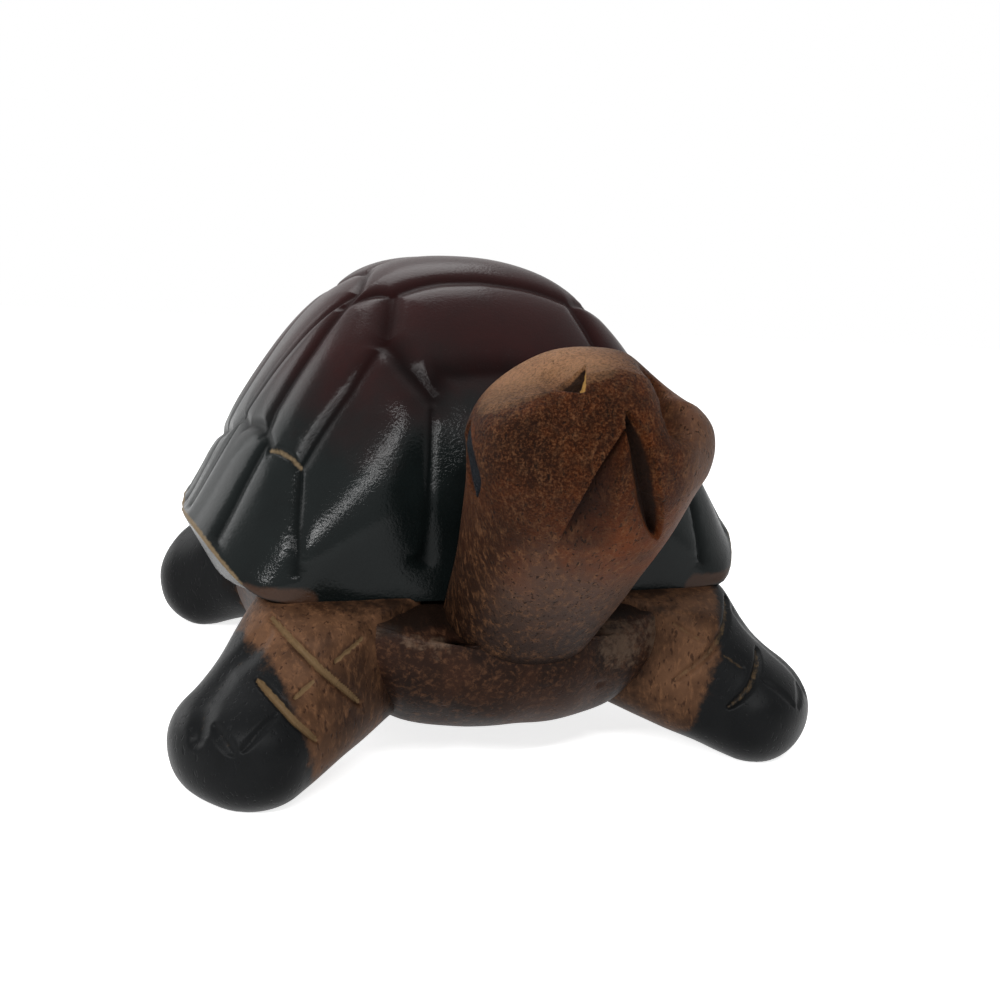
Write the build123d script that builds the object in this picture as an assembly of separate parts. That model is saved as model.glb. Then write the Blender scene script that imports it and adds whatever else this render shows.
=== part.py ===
from build123d import *
import math
import os

os.makedirs("parts", exist_ok=True)

# Turtle figurine in carved wood. The head points along -Y, up is +Z, and the turtle's own right is -X.
# Every size is in millimetres. The pieces are shaped around the middle of the body and are moved along Y
# at the end, so that the origin lies on the floor under the middle of the whole figurine.

# Body, one block of chest, flanks and belly under the carapace
body_length = 77.0
body_width = 51.0
body_height = 14.6
belly_z = 4.4
belly_round = 9.0
belly_inset = 7.6
body_corner_power = 2.5
chest_slope = 24.0

# Carapace, the domed shell that sits on the body's flat top
shell_length = 77.0
shell_width = 67.0
shell_setback = 1.8
rim_height = 4.5
dome_height = 34.0
rim_tuck = 3.6
crown_shift = 4.0
front_flare = 0.12
shell_corner_power = 3.2
dome_fullness = 2.65
flank_hollow = 1.2
front_wall_inset = 6.2
front_wall_lean = 6.5

# Scutes, the plates of the carapace, parted by carved grooves. Their corners are given for the turtle's left
# side, as shares of the shell's half width and half length, counted from its middle.
groove_depth = 0.9
back_groove_width = 1.8
margin_groove_width = 1.1
back_seam_ends = [(0.27, -0.71), (0.34, -0.46), (0.34, -0.09), (0.33, 0.26), (0.28, 0.58), (0.25, 0.78)]
back_corners = [(0.41, -0.61), (0.44, -0.35), (0.43, 0.10), (0.39, 0.43), (0.34, 0.69)]
margin_corners = [(0.71, -0.71), (0.80, -0.54), (0.82, -0.25), (0.83, 0.11), (0.78, 0.47), (0.61, 0.71)]

# Neck and head, one piece, seated behind the body's front end and below its top
neck_seat_inset = 9.5
neck_seat_drop = 5.0
neck_reach = 15.5
neck_rise = 16.0
head_reach = 3.5
head_rise = 8.5
neck_width = 15.4
neck_depth = 15.2
head_width = 24.4
head_depth = 19.2
crown_length = 10.2

# Front legs, given for the turtle's left side
front_hip_x = 15.0
front_hip_inset = 15.5
front_hip_drop = 7.4
front_leg_spread = 15.8
front_leg_reach = 11.7
front_thigh_width = 17.0
front_thigh_depth = 13.6
front_foot_width = 17.0
front_foot_depth = 12.8
front_toe_length = 6.6
front_sole_cut = 0.9

# Rear legs, given for the turtle's left side
rear_hip_x = 15.0
rear_hip_inset = 16.0
rear_hip_drop = 7.6
rear_leg_spread = 10.8
rear_leg_reach = 11.0
rear_thigh_width = 16.0
rear_thigh_depth = 13.0
rear_foot_width = 15.6
rear_foot_depth = 14.8
rear_toe_length = 7.0
rear_sole_cut = 0.8

# Tail, carved in one with the body
tail_seat_inset = 5.0
tail_seat_drop = 8.5
tail_reach = 8.0
tail_drop = 3.0
tail_root_width = 8.0
tail_tip_width = 4.6
tail_end_length = 3.0

# Dowel joints, and the room around a limb that is let into its seat
dowel_diameter = 5.0
dowel_length = 14.0
dowel_chamfer = 0.6
dowel_clearance = 0.1
shell_dowel_front_inset = 31.0
shell_dowel_rear_inset = 18.0
seat_clearance = 0.25

# How finely the curved forms are divided into sections
outline_points = 24
dome_sections = 7
belly_sections = 4
limb_sections = 8
cap_sections = 4

# Ends and levels that the pieces share
body_front_y = -body_length / 2
body_rear_y = body_length / 2
seat_z = belly_z + body_height
rim_z = seat_z + rim_height
crown_z = rim_z + dome_height


# Outlines of the shell and the body
def rounded_oblong(half_width, half_length, centre_y, z, corner_power, flare=0.0):
    """A flat rounded oblong at height z, wider at its front by the flare."""
    points = []
    for index in range(outline_points):
        turn = 2 * math.pi * index / outline_points
        across = abs(math.cos(turn)) / half_width
        along = abs(math.sin(turn)) / half_length
        radius = (across**corner_power + along**corner_power) ** (-1 / corner_power)
        y = radius * math.sin(turn)
        points.append((radius * math.cos(turn) * (1 - flare * y / half_length), centre_y + y, z))
    return make_face(Spline(*points, periodic=True))


def shell_section(share, z):
    """The carapace's outline, drawn in to a share of its size about the crown."""
    return rounded_oblong(
        share * shell_width / 2,
        share * shell_length / 2,
        shell_setback - crown_shift * (1 - share),
        z,
        shell_corner_power,
        front_flare,
    )


def body_section(inset, z):
    return rounded_oblong(body_width / 2 - inset, body_length / 2 - inset, 0, z, body_corner_power)


# Limbs: the neck with its head, the legs and the tail
class Limb:
    """A limb along a bent path, from a flat root to an end that is rounded as half an ellipsoid."""

    def __init__(self, root, bend, end, root_size, end_size, cap_length):
        self.path = Bezier(root, bend, end)
        self.root_size = root_size
        self.end_size = end_size
        self.cap_length = cap_length

    def plane(self, along):
        """The cross-section's plane, with its X level and its Z along the limb."""
        tangent = self.path % along
        return Plane(origin=self.path @ along, x_dir=tangent.cross(Vector(0, 0, 1)), z_dir=tangent)

    def solid(self, grow=0.0):
        sections = []
        for step in range(limb_sections):
            along = step / (limb_sections - 1)
            width, depth = (low + (high - low) * along for low, high in zip(self.root_size, self.end_size))
            sections.append(self.plane(along) * Ellipse(width / 2 + grow, depth / 2 + grow))
        end = self.plane(1)
        for step in range(1, cap_sections + 1):
            angle = math.pi / 2 * step / (cap_sections + 1)
            width, depth = ((size / 2 + grow) * math.cos(angle) for size in self.end_size)
            sections.append(end.offset((self.cap_length + grow) * math.sin(angle)) * Ellipse(width, depth))
        sections.append(Vertex(*(end.origin + end.z_dir * (self.cap_length + grow))))
        return loft(sections)


def straight_limb(root, end, root_size, end_size, cap_length):
    middle = tuple((low + high) / 2 for low, high in zip(root, end))
    return Limb(root, middle, end, root_size, end_size, cap_length)


def front_leg(side):
    hip_y = body_front_y + front_hip_inset
    toe_z = front_foot_depth / 2 - front_sole_cut
    return straight_limb(
        (side * front_hip_x, hip_y, seat_z - front_hip_drop),
        (side * (front_hip_x + front_leg_spread), hip_y - front_leg_reach, toe_z),
        (front_thigh_width, front_thigh_depth),
        (front_foot_width, front_foot_depth),
        front_toe_length,
    )


def rear_leg(side):
    hip_y = body_rear_y - rear_hip_inset
    toe_z = rear_foot_depth / 2 - rear_sole_cut
    return straight_limb(
        (side * rear_hip_x, hip_y, seat_z - rear_hip_drop),
        (side * (rear_hip_x + rear_leg_spread), hip_y + rear_leg_reach, toe_z),
        (rear_thigh_width, rear_thigh_depth),
        (rear_foot_width, rear_foot_depth),
        rear_toe_length,
    )


left = 1
right = -1
legs = {
    "front_right_leg": front_leg(right),
    "front_left_leg": front_leg(left),
    "rear_right_leg": rear_leg(right),
    "rear_left_leg": rear_leg(left),
}
neck_seat = Vector(0, body_front_y + neck_seat_inset, seat_z - neck_seat_drop)
neck_bend = neck_seat + Vector(0, -neck_reach, neck_rise)
eye_level = neck_bend + Vector(0, -head_reach, head_rise)
neck = Limb(neck_seat, neck_bend, eye_level, (neck_width, neck_depth), (head_width, head_depth), crown_length)
tail_seat = Vector(0, body_rear_y - tail_seat_inset, seat_z - tail_seat_drop)
tail = straight_limb(
    tail_seat,
    tail_seat + Vector(0, tail_reach, -tail_drop),
    (tail_root_width, tail_root_width),
    (tail_tip_width, tail_tip_width),
    tail_end_length,
)


# Dowels, each half in one piece and half in the other
def dowel(joint):
    peg = Cylinder(dowel_diameter / 2, dowel_length)
    return joint * chamfer(peg.edges().filter_by(GeomType.CIRCLE), dowel_chamfer)


def dowel_hole(joint):
    return joint * Cylinder(dowel_diameter / 2 + dowel_clearance, dowel_length + 2 * dowel_clearance)


neck_joint = neck.plane(0)
leg_joints = [limb.plane(0) for limb in legs.values()]
shell_joints = [
    Plane((0, body_front_y + shell_dowel_front_inset, seat_z)),
    Plane((0, body_rear_y - shell_dowel_rear_inset, seat_z)),
]

pieces = {}


# Carapace: a tucked band under the rim, the dome above it, the grooves between its scutes, the wall that its
# front is cut back to, and the hollow where the neck comes out
def dome(inset):
    """The domed top, drawn in on all sides by the inset."""
    scale = 1 - inset / (shell_width / 2)
    height = dome_height - inset
    outlines = []
    for step in range(dome_sections):
        share = math.cos(math.pi / 2 * step / dome_sections)
        rise = height * (1 - share**dome_fullness) ** flank_hollow
        outlines.append(shell_section(scale * share, rim_z + rise))
    return loft(outlines + [Vertex(0, shell_setback - crown_shift, rim_z + height)])


def scute_corner(shares, side):
    return Vector(side * shares[0] * shell_width / 2, shell_setback + shares[1] * shell_length / 2)


def groove_strip(start, end, width):
    """A groove seen from above, from one corner to the next."""
    run = end - start
    turn = math.degrees(math.atan2(run.Y, run.X))
    return Pos((start + end) / 2) * SlotCenterToCenter(run.length, width, rotation=turn)


strips = []
for side in (left, right):
    seam_ends, corners, margin = (
        [scute_corner(shares, side) for shares in group]
        for group in (back_seam_ends, back_corners, margin_corners)
    )
    for front_end, corner, rear_end in zip(seam_ends, corners, seam_ends[1:]):
        strips.append(groove_strip(front_end, corner, back_groove_width))
        strips.append(groove_strip(corner, rear_end, back_groove_width))
    strips.append(groove_strip(corners[1], margin[1], back_groove_width))
    for corner, outer in zip(corners, margin[:1] + margin[2:]):
        strips.append(groove_strip(corner, outer, back_groove_width))
    for start, end in zip(margin, margin[1:] + seam_ends[-1:]):
        strips.append(groove_strip(start, end, margin_groove_width))
for shares in back_seam_ends:
    strips.append(groove_strip(scute_corner(shares, right), scute_corner(shares, left), back_groove_width))
blades = extrude(Pos(0, 0, rim_z) * (Sketch() + strips), dome_height)

tuck_share = 1 - rim_tuck / (shell_width / 2)
band = loft([shell_section(tuck_share, seat_z), shell_section(1, rim_z)])
front_wall = Pos(0, shell_setback - shell_length / 2 + front_wall_inset, seat_z)
whole = 2 * (shell_length + body_length)
before_wall = Box(shell_width * 2, whole, whole, align=(Align.CENTER, Align.MAX, Align.CENTER))
carapace = band + dome(0) - (blades - dome(groove_depth))
carapace -= front_wall * Rot(X=front_wall_lean) * before_wall
carapace -= neck.solid(seat_clearance)
for joint in shell_joints:
    carapace -= dowel_hole(joint)
pieces["carapace"] = carapace

# Body: the block with its chest sloping down before the carapace, the tail, and the seats for the neck and
# the legs
body_outlines = []
for step in range(belly_sections + 1):
    angle = math.pi / 2 * step / belly_sections
    body_outlines.append(
        body_section(belly_inset * (1 - math.sin(angle)), belly_z + belly_round * (1 - math.cos(angle)))
    )
body_outlines.append(body_section(0, seat_z))
above_slope = Box(body_width * 2, whole, whole, align=(Align.CENTER, Align.MAX, Align.MIN))
body = loft(body_outlines) + tail.solid()
body -= front_wall * Rot(X=chest_slope) * above_slope
body -= neck.solid(seat_clearance)
for limb in legs.values():
    body -= limb.solid(seat_clearance)
for joint in [neck_joint, *leg_joints, *shell_joints]:
    body -= dowel_hole(joint)
pieces["body"] = body

# Neck and head
pieces["head_and_neck"] = neck.solid() - dowel_hole(neck_joint)

# Legs, cut flat at the floor and kept under the carapace
leg_room = Pos(0, 0, seat_z / 2) * Box(whole, whole, seat_z)
for name, limb in legs.items():
    pieces[name] = (limb.solid() - dowel_hole(limb.plane(0))) & leg_room

# Dowels
pieces["neck_dowel"] = dowel(neck_joint)
pieces["leg_dowels"] = Part() + [dowel(joint) for joint in leg_joints]
pieces["carapace_dowels"] = Part() + [dowel(joint) for joint in shell_joints]

# The figurine's middle goes over the origin
front_y = min(piece.bounding_box().min.Y for piece in pieces.values())
rear_y = max(piece.bounding_box().max.Y for piece in pieces.values())
to_origin = Pos(0, -(front_y + rear_y) / 2, 0)
print(f"front {front_y:.2f}, rear {rear_y:.2f}")

for name, piece in pieces.items():
    export_step(to_origin * piece, f"parts/{name}.step")
    print(f"{name}: {piece.volume:.1f} mm3")
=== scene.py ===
# %% [markdown]
# # A carved wooden turtle
# A small figurine, carved by hand, stained and lacquered. The solid model already gives every piece its
# place and its main form, so it is loaded first and stays fixed. This lesson then carves each piece again
# as a fine mesh, with its grooves, cuts and facets, and gives each one its own finish.

# %% Load the frame
import math

import bmesh
import bpy
import numpy as np
from mathutils import Matrix, Quaternion, Vector, noise
from mathutils.bvhtree import BVHTree


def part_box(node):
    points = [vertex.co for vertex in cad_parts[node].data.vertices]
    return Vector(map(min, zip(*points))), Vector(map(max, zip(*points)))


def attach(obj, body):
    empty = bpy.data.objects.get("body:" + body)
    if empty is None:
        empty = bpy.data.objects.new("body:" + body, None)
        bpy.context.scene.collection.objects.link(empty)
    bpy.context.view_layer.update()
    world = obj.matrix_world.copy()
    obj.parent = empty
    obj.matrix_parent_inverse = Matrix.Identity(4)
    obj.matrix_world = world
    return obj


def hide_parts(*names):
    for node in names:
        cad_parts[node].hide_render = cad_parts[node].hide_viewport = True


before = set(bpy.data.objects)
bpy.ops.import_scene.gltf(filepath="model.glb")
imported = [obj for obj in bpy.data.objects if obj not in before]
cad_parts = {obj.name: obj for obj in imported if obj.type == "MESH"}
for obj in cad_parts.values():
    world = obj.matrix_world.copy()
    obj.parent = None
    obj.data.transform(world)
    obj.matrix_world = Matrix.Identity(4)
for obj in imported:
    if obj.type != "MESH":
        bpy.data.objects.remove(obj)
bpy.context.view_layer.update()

MM = 0.001

# %% [markdown]
# ## The camera
# The photograph was taken close up, from a little above and from the turtle's right. A camera can be aimed
# with a Track To constraint, but this one is tilted slightly, so its axes are worked out from the angles:
# first the direction to the figurine, then a small turn, nod and tilt of the hand that held it.

# %% Camera
CAMERA_AZIMUTH = math.radians(-17.741)
CAMERA_ELEVATION = math.radians(12.335)
CAMERA_DISTANCE = 166.168 * MM
CAMERA_TURN = math.radians(-3.192)
CAMERA_NOD = math.radians(-2.423)
CAMERA_TILT = math.radians(2.527)
LOOKED_AT = Vector((0, 7.13, 18)) * MM


def turned(first, second, angle):
    """Two axes, turned in their own plane."""
    return (
        first * math.cos(angle) + second * math.sin(angle),
        second * math.cos(angle) - first * math.sin(angle),
    )


back = Vector((
    math.sin(CAMERA_AZIMUTH) * math.cos(CAMERA_ELEVATION),
    -math.cos(CAMERA_AZIMUTH) * math.cos(CAMERA_ELEVATION),
    math.sin(CAMERA_ELEVATION),
))
level = Vector((math.cos(CAMERA_AZIMUTH), math.sin(CAMERA_AZIMUTH), 0))
camera_place = LOOKED_AT + CAMERA_DISTANCE * back
up = back.cross(level)
back, level = turned(back, level, CAMERA_TURN)
back, up = turned(back, up, CAMERA_NOD)
level, up = turned(level, up, CAMERA_TILT)

camera_data = bpy.data.cameras.new("camera")
camera_data.sensor_width = 36
camera_data.lens = 43.19
camera_data.clip_start = 10 * MM
camera = bpy.data.objects.new("camera", camera_data)
camera.matrix_world = Matrix.Translation(camera_place) @ Matrix((level, up, back)).transposed().to_4x4()
bpy.context.scene.collection.objects.link(camera)
bpy.context.scene.camera = camera
print("camera at, in mm:", [round(value / MM, 1) for value in camera_place])

# %% Lines of sight
IMAGE_SIDE = 1000
FOCAL_LENGTH = camera_data.lens / camera_data.sensor_width * IMAGE_SIDE


def sight(column, row):
    """The direction in which the camera sees a place of the picture."""
    across = (column - IMAGE_SIDE / 2) / FOCAL_LENGTH
    upward = (IMAGE_SIDE / 2 - row) / FOCAL_LENGTH
    return (level * across + up * upward - back).normalized()


print("focal length in pixels:", round(FOCAL_LENGTH, 1))

# %% [markdown]
# ## Nodes in few words
# Every finish here is a node tree. Adding nodes one by one makes long code, so small helpers add a node, do a
# sum, stretch a range and mix colours. An input that is given a socket is linked to it, and any other value
# is written on the node itself. Colours are written as a screen shows them, from 0 to 255.

# %% Helpers for node trees
def add_node(tree, kind, inputs=None, **settings):
    made = tree.nodes.new(kind)
    for key, value in settings.items():
        setattr(made, key, value)
    for key, value in (inputs or {}).items():
        if isinstance(value, bpy.types.NodeSocket):
            tree.links.new(value, made.inputs[key])
        else:
            made.inputs[key].default_value = value
    return made


def calc(tree, operation, first, second=0.0, third=0.0):
    made = add_node(tree, "ShaderNodeMath", {0: first, 1: second, 2: third}, operation=operation)
    return made.outputs[0]


def product(tree, first, *others):
    for other in others:
        first = calc(tree, "MULTIPLY", first, other)
    return first


def swayed(tree, base, sway, amount):
    """A value that a noise moves up and down by half the amount."""
    return calc(tree, "MULTIPLY_ADD", calc(tree, "SUBTRACT", sway, 0.5), amount, base)


def stretch(tree, value, low, high, to_low=0.0, to_high=1.0):
    """Takes low..high smoothly to to_low..to_high."""
    inputs = {"Value": value, "From Min": low, "From Max": high, "To Min": to_low, "To Max": to_high}
    made = add_node(tree, "ShaderNodeMapRange", inputs, interpolation_type="SMOOTHSTEP")
    return made.outputs["Result"]


def noise_value(tree, vector, scale, detail=4.0, roughness=0.55, distortion=0.0):
    inputs = {"Scale": scale, "Detail": detail, "Roughness": roughness, "Distortion": distortion}
    return add_node(tree, "ShaderNodeTexNoise", {"Vector": vector, **inputs}).outputs["Fac"]


def own_place(tree):
    """A point's place on its own piece, in metres."""
    return add_node(tree, "ShaderNodeTexCoord").outputs["Object"]


def own_side(tree, axis):
    return add_node(tree, "ShaderNodeSeparateXYZ", {0: own_place(tree)}).outputs[axis]


def mask(tree, title):
    """A value that the carving stored on the mesh."""
    return add_node(tree, "ShaderNodeAttribute", attribute_name=title).outputs["Fac"]


print("helpers for node trees ready")

# %% Helpers for colours
def shade(red, green, blue):
    """A colour read off a screen, 0 to 255, as the linear value a shader wants."""
    linear = [(value / 255 / 12.92) if value < 10.5 else ((value / 255 + 0.055) / 1.055) ** 2.4
              for value in (red, green, blue)]
    return (*linear, 1.0)


def mix_colours(tree, share, first, second):
    mixed = add_node(tree, "ShaderNodeMix", {0: share, 6: first, 7: second}, data_type="RGBA")
    return mixed.outputs[2]


def between(tree, share, first, second):
    return mix_colours(tree, share, shade(*first), shade(*second))


def tint(tree, tone, colour, *shares):
    """Mixes a tone towards a colour, or towards another tone, by the product of the shares."""
    if not isinstance(colour, bpy.types.NodeSocket):
        colour = shade(*colour)
    return mix_colours(tree, product(tree, *shares), tone, colour)


def new_group(title, inputs, outputs):
    group = bpy.data.node_groups.new(title, "ShaderNodeTree")
    for name, kind, value in inputs:
        group.interface.new_socket(name, in_out="INPUT", socket_type=kind).default_value = value
    for name in outputs:
        group.interface.new_socket(name, in_out="OUTPUT", socket_type="NodeSocketFloat")
    return group, group.nodes.new("NodeGroupInput"), group.nodes.new("NodeGroupOutput")


def new_finish(title):
    material = bpy.data.materials.new(title)
    material.use_nodes = True
    return material, material.node_tree


def dress(finish, tone, dull, normal, gloss):
    """Links a finish's colour, roughness and bump to its shader, and sets the gloss."""
    shader = finish.node_tree.nodes["Principled BSDF"]
    for name, value in {"Base Color": tone, "Roughness": dull, "Normal": normal}.items():
        finish.node_tree.links.new(value, shader.inputs[name])
    shader.inputs["Specular IOR Level"].default_value = gloss
    print("finish", finish.name)
    return shader


print("helpers for colours ready")

# %% [markdown]
# ## Light and floor
# The turtle stands on plain white. A long soft window in front and to its right draws the pale streak on the
# shell, and weaker ones light its top and far flank. The world gives an even fill. What the camera and all
# reflections see of the world and the floor is white, and the floor still takes the turtle's shadow.

# %% World
FILL_STRENGTH = 0.28
WHITE = 1.0
world = bpy.data.worlds.new("white_room")
world.use_nodes = True
bpy.context.scene.world = world
room = world.node_tree
room.nodes.clear()


def seen_directly(tree):
    """1 for rays from the camera, or by way of a reflection or clear material."""
    path = add_node(tree, "ShaderNodeLightPath")
    mirrored_ray = calc(tree, "MAXIMUM", path.outputs["Is Glossy Ray"], path.outputs["Is Transmission Ray"])
    return calc(tree, "MAXIMUM", path.outputs["Is Camera Ray"], mirrored_ray)


levels = {0: seen_directly(room), 2: FILL_STRENGTH, 3: WHITE}
strength = add_node(room, "ShaderNodeMix", levels, data_type="FLOAT")
backdrop = add_node(room, "ShaderNodeBackground", {"Color": (1, 1, 1, 1), "Strength": strength.outputs[0]})
room.links.new(backdrop.outputs[0], add_node(room, "ShaderNodeOutputWorld").inputs["Surface"])
bpy.context.scene.view_settings.view_transform = "Standard"
print("fill light", FILL_STRENGTH)

# %% Window light
FIGURINE_MIDDLE = Vector((0, 0, 28)) * MM


def soft_window(title, place, width, height, power, roll=0.0):
    """A lamp at a place in metres, aimed at the figurine and turned by a roll in degrees."""
    lamp_data = bpy.data.lights.new(title, "AREA")
    lamp_data.shape = "RECTANGLE"
    lamp_data.size = width
    lamp_data.size_y = height
    lamp_data.energy = power
    lamp = bpy.data.objects.new(title, lamp_data)
    lamp.location = place
    aim = (FIGURINE_MIDDLE - Vector(place)).to_track_quat("-Z", "Y")
    lamp.rotation_euler = (aim @ Quaternion((0, 0, 1), math.radians(roll))).to_euler()
    bpy.context.scene.collection.objects.link(lamp)


soft_window("long_window", (-0.18, -0.38, 0.34), 0.56, 0.032, 1.9, 22)
soft_window("small_pane", (-0.40, -0.29, 0.27), 0.07, 0.07, 0.5)
soft_window("skylight", (0.03, 0.33, 0.55), 0.36, 0.36, 1.4)
soft_window("side_window", (-0.43, 0.38, 0.24), 0.40, 0.40, 1.3)

# %% Floor
FLOOR_SIDE = 3.0
FLOOR_GLOW = 0.8
floor_finish, tree = new_finish("white_floor")
tree.nodes.clear()
card_tone = noise_value(tree, own_place(tree), 40.0)
card_colour = mix_colours(tree, card_tone, (0.80, 0.80, 0.80, 1), (0.86, 0.86, 0.86, 1))
card = add_node(tree, "ShaderNodeBsdfDiffuse", {"Color": card_colour})
glow = add_node(tree, "ShaderNodeEmission", {"Strength": product(tree, seen_directly(tree), FLOOR_GLOW)})
both = add_node(tree, "ShaderNodeAddShader", {0: card.outputs[0], 1: glow.outputs[0]})
tree.links.new(both.outputs[0], add_node(tree, "ShaderNodeOutputMaterial").inputs["Surface"])

floor_mesh = bpy.data.meshes.new("floor")
shape = bmesh.new()
bmesh.ops.create_grid(shape, x_segments=1, y_segments=1, size=FLOOR_SIDE / 2)
shape.to_mesh(floor_mesh)
shape.free()
floor_mesh.materials.append(floor_finish)
floor = bpy.data.objects.new("floor", floor_mesh)
# a hair under the soles, so that the two never share a plane
floor.location.z = -0.05 * MM
bpy.context.scene.collection.objects.link(floor)
print("floor side in m:", FLOOR_SIDE)

# %% [markdown]
# ## What every wooden surface shares
# Bare hardwood shows fine fibres along the grain, short dark pores, and slow patches where stain soaked in
# unevenly. Worn places are never clean edged. Both effects turn up on several pieces, so each is a node
# group: it is built once, and each finish places it with its own values.

# %% Wood grain group
grain_group, grain_in, grain_out = new_group(
    "wood_grain",
    [
        ("Stretch", "NodeSocketVector", (1.0, 1.0, 0.25)),
        ("Pore scale", "NodeSocketFloat", 2400.0),
        ("Patch scale", "NodeSocketFloat", 130.0),
    ],
    ["Fibres", "Pores", "Patches", "Height"],
)
FIBRE_SCALE = 1500.0
FIBRE_RIDGE = 0.5
PORE_PIT = 0.6
place = own_place(grain_group)
sides = {0: place, 1: grain_in.outputs["Stretch"]}
drawn_out = add_node(grain_group, "ShaderNodeVectorMath", sides, operation="MULTIPLY").outputs[0]
fibres = noise_value(grain_group, drawn_out, FIBRE_SCALE, 6.0, 0.7, 0.4)
pore_noise = noise_value(grain_group, drawn_out, grain_in.outputs["Pore scale"], 2.0, 0.5)
pores = stretch(grain_group, pore_noise, 0.60, 0.70)
patches = noise_value(grain_group, place, grain_in.outputs["Patch scale"], 4.0, 0.6, 0.3)
ridges = product(grain_group, fibres, FIBRE_RIDGE)
height = calc(grain_group, "SUBTRACT", ridges, product(grain_group, pores, PORE_PIT))
for name, value in {"Fibres": fibres, "Pores": pores, "Patches": patches, "Height": height}.items():
    grain_group.links.new(value, grain_out.inputs[name])
print("group wood_grain gives", [socket.name for socket in grain_out.inputs if socket.name])

# %% Ragged edge group
ragged_group, ragged_in, ragged_out = new_group(
    "ragged_edge",
    [
        ("Mask", "NodeSocketFloat", 0.0),
        ("Scale", "NodeSocketFloat", 900.0),
        ("Bite", "NodeSocketFloat", 0.6),
    ],
    ["Wear"],
)
crumble = noise_value(ragged_group, own_place(ragged_group), ragged_in.outputs["Scale"], 6.0, 0.65)
bitten = swayed(ragged_group, ragged_in.outputs["Mask"], crumble, ragged_in.outputs["Bite"])
ragged_group.links.new(stretch(ragged_group, bitten, 0.35, 0.65), ragged_out.inputs["Wear"])
print("group ragged_edge ready")

# %% The groups placed in a finish
WAX_GLOSS = 0.06
STAIN_GLOSS = 0.02
PLAIN_GLOSS = 0.5


def place_grain(tree, drawn, pore_scale, patch_scale):
    values = {"Stretch": drawn, "Pore scale": pore_scale, "Patch scale": patch_scale}
    return add_node(tree, "ShaderNodeGroup", values, node_tree=grain_group).outputs


def ragged(tree, title, scale, bite):
    """A mask that the carving stored, with a crumbled edge."""
    values = {"Mask": mask(tree, title), "Scale": scale, "Bite": bite}
    return add_node(tree, "ShaderNodeGroup", values, node_tree=ragged_group).outputs["Wear"]


def raise_bump(tree, height, strength, distance):
    bump = add_node(tree, "ShaderNodeBump", {"Height": height, "Strength": strength, "Distance": distance})
    return bump.outputs["Normal"]


def stained(tree, grain_of, dark, light, fibre, fibre_share, pore):
    """Stained wood: patches between dark and light, paler fibres and darker pores."""
    tone = between(tree, stretch(tree, grain_of["Patches"], 0.33, 0.7), dark, light)
    tone = tint(tree, tone, fibre, stretch(tree, grain_of["Fibres"], 0.46, 0.74, 0.0, fibre_share))
    return tint(tree, tone, pore, grain_of["Pores"], 0.7)


print("gloss of waxed wood:", WAX_GLOSS)

# %% [markdown]
# ## Shell lacquer
# The shell is stained in two colours: oxblood on the crown, green-black on the flanks, with a soft border
# where the stains ran together. Over the dull stain lies one thin, glossy coat of lacquer. It is slightly
# grainy, so reflections break up into fine specks. Grooves are darker and hold less lacquer, and a few are
# rubbed through to pale wood. Faces that turn down, under the rim and over the neck, get painted shade.

# %% Shell lacquer
FLANK_TOP_Z = 33.5 * MM
CROWN_FOOT_Z = 50.5 * MM
BORDER_SWAY = 22 * MM
shell_lacquer, tree = new_finish("shell_lacquer")
place = own_place(tree)
runs = noise_value(tree, place, 90.0, 4.0, 0.6)
border = swayed(tree, own_side(tree, "Z"), runs, BORDER_SWAY)
grain_of = place_grain(tree, (1.0, 0.3, 1.0), 2600.0, 160.0)
flank = between(tree, grain_of["Patches"], (6, 9, 9), (18, 24, 24))
crown = between(tree, grain_of["Patches"], (24, 5, 5), (44, 9, 8))
pale_wood = between(tree, grain_of["Fibres"], (92, 76, 56), (128, 112, 88))
groove = mask(tree, "groove")
worn = ragged(tree, "worn", 1400.0, 0.5)
stain = mix_colours(tree, stretch(tree, border, FLANK_TOP_Z, CROWN_FOOT_Z), flank, crown)
stain = tint(tree, stain, (9, 9, 9), groove, 0.45)
stain = tint(tree, stain, (58, 40, 30), ragged(tree, "fading", 500.0, 0.5))
# painted shade: faces that turn down, under the rim and over the neck, are darkened
stain = tint(tree, stain, (9, 8, 7), mask(tree, "under"))
stain = tint(tree, stain, pale_wood, worn)
dull = calc(tree, "MULTIPLY_ADD", noise_value(tree, place, 2600.0, 3.0, 0.7), 0.16, 0.30)
dull = calc(tree, "MULTIPLY_ADD", worn, 0.25, dull)
peel = noise_value(tree, place, 3000.0, 3.0, 0.6)
peeled = raise_bump(tree, calc(tree, "ADD", peel, runs), 0.4, 0.085 * MM)
lacquer = dress(shell_lacquer, stain, dull, peeled, STAIN_GLOSS)
tree.links.new(peeled, lacquer.inputs["Coat Normal"])
bare = calc(tree, "MAXIMUM", groove, worn)
tree.links.new(calc(tree, "MULTIPLY_ADD", bare, -0.21, 0.24), lacquer.inputs["Coat Weight"])
lacquer.inputs["Coat Roughness"].default_value = 0.10

# %% [markdown]
# ## Bare head wood
# The head is the least finished piece: a mid brown wood with open pores, only waxed. Its top is lighter
# where hands have rubbed it, the eyes are painted black, and knife cuts show fresh yellow wood, or dark
# stain and painted shade in their deep parts. The throat has a painted reflection, the neck's base a
# painted shadow, and the brow edge a painted highlight; pale specks in the grit are partly painted glints.

# %% Colours of the head, from the wood to the rubbed places
head_wood, tree = new_finish("head_wood")
place = own_place(tree)
height = own_side(tree, "Z")
across = own_side(tree, "X")
top = mask(tree, "top")
grain_of = place_grain(tree, (1.0, 1.0, 0.45), 3000.0, 110.0)
tone = between(tree, stretch(tree, grain_of["Patches"], 0.35, 0.68), (50, 22, 7), (98, 47, 16))
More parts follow.
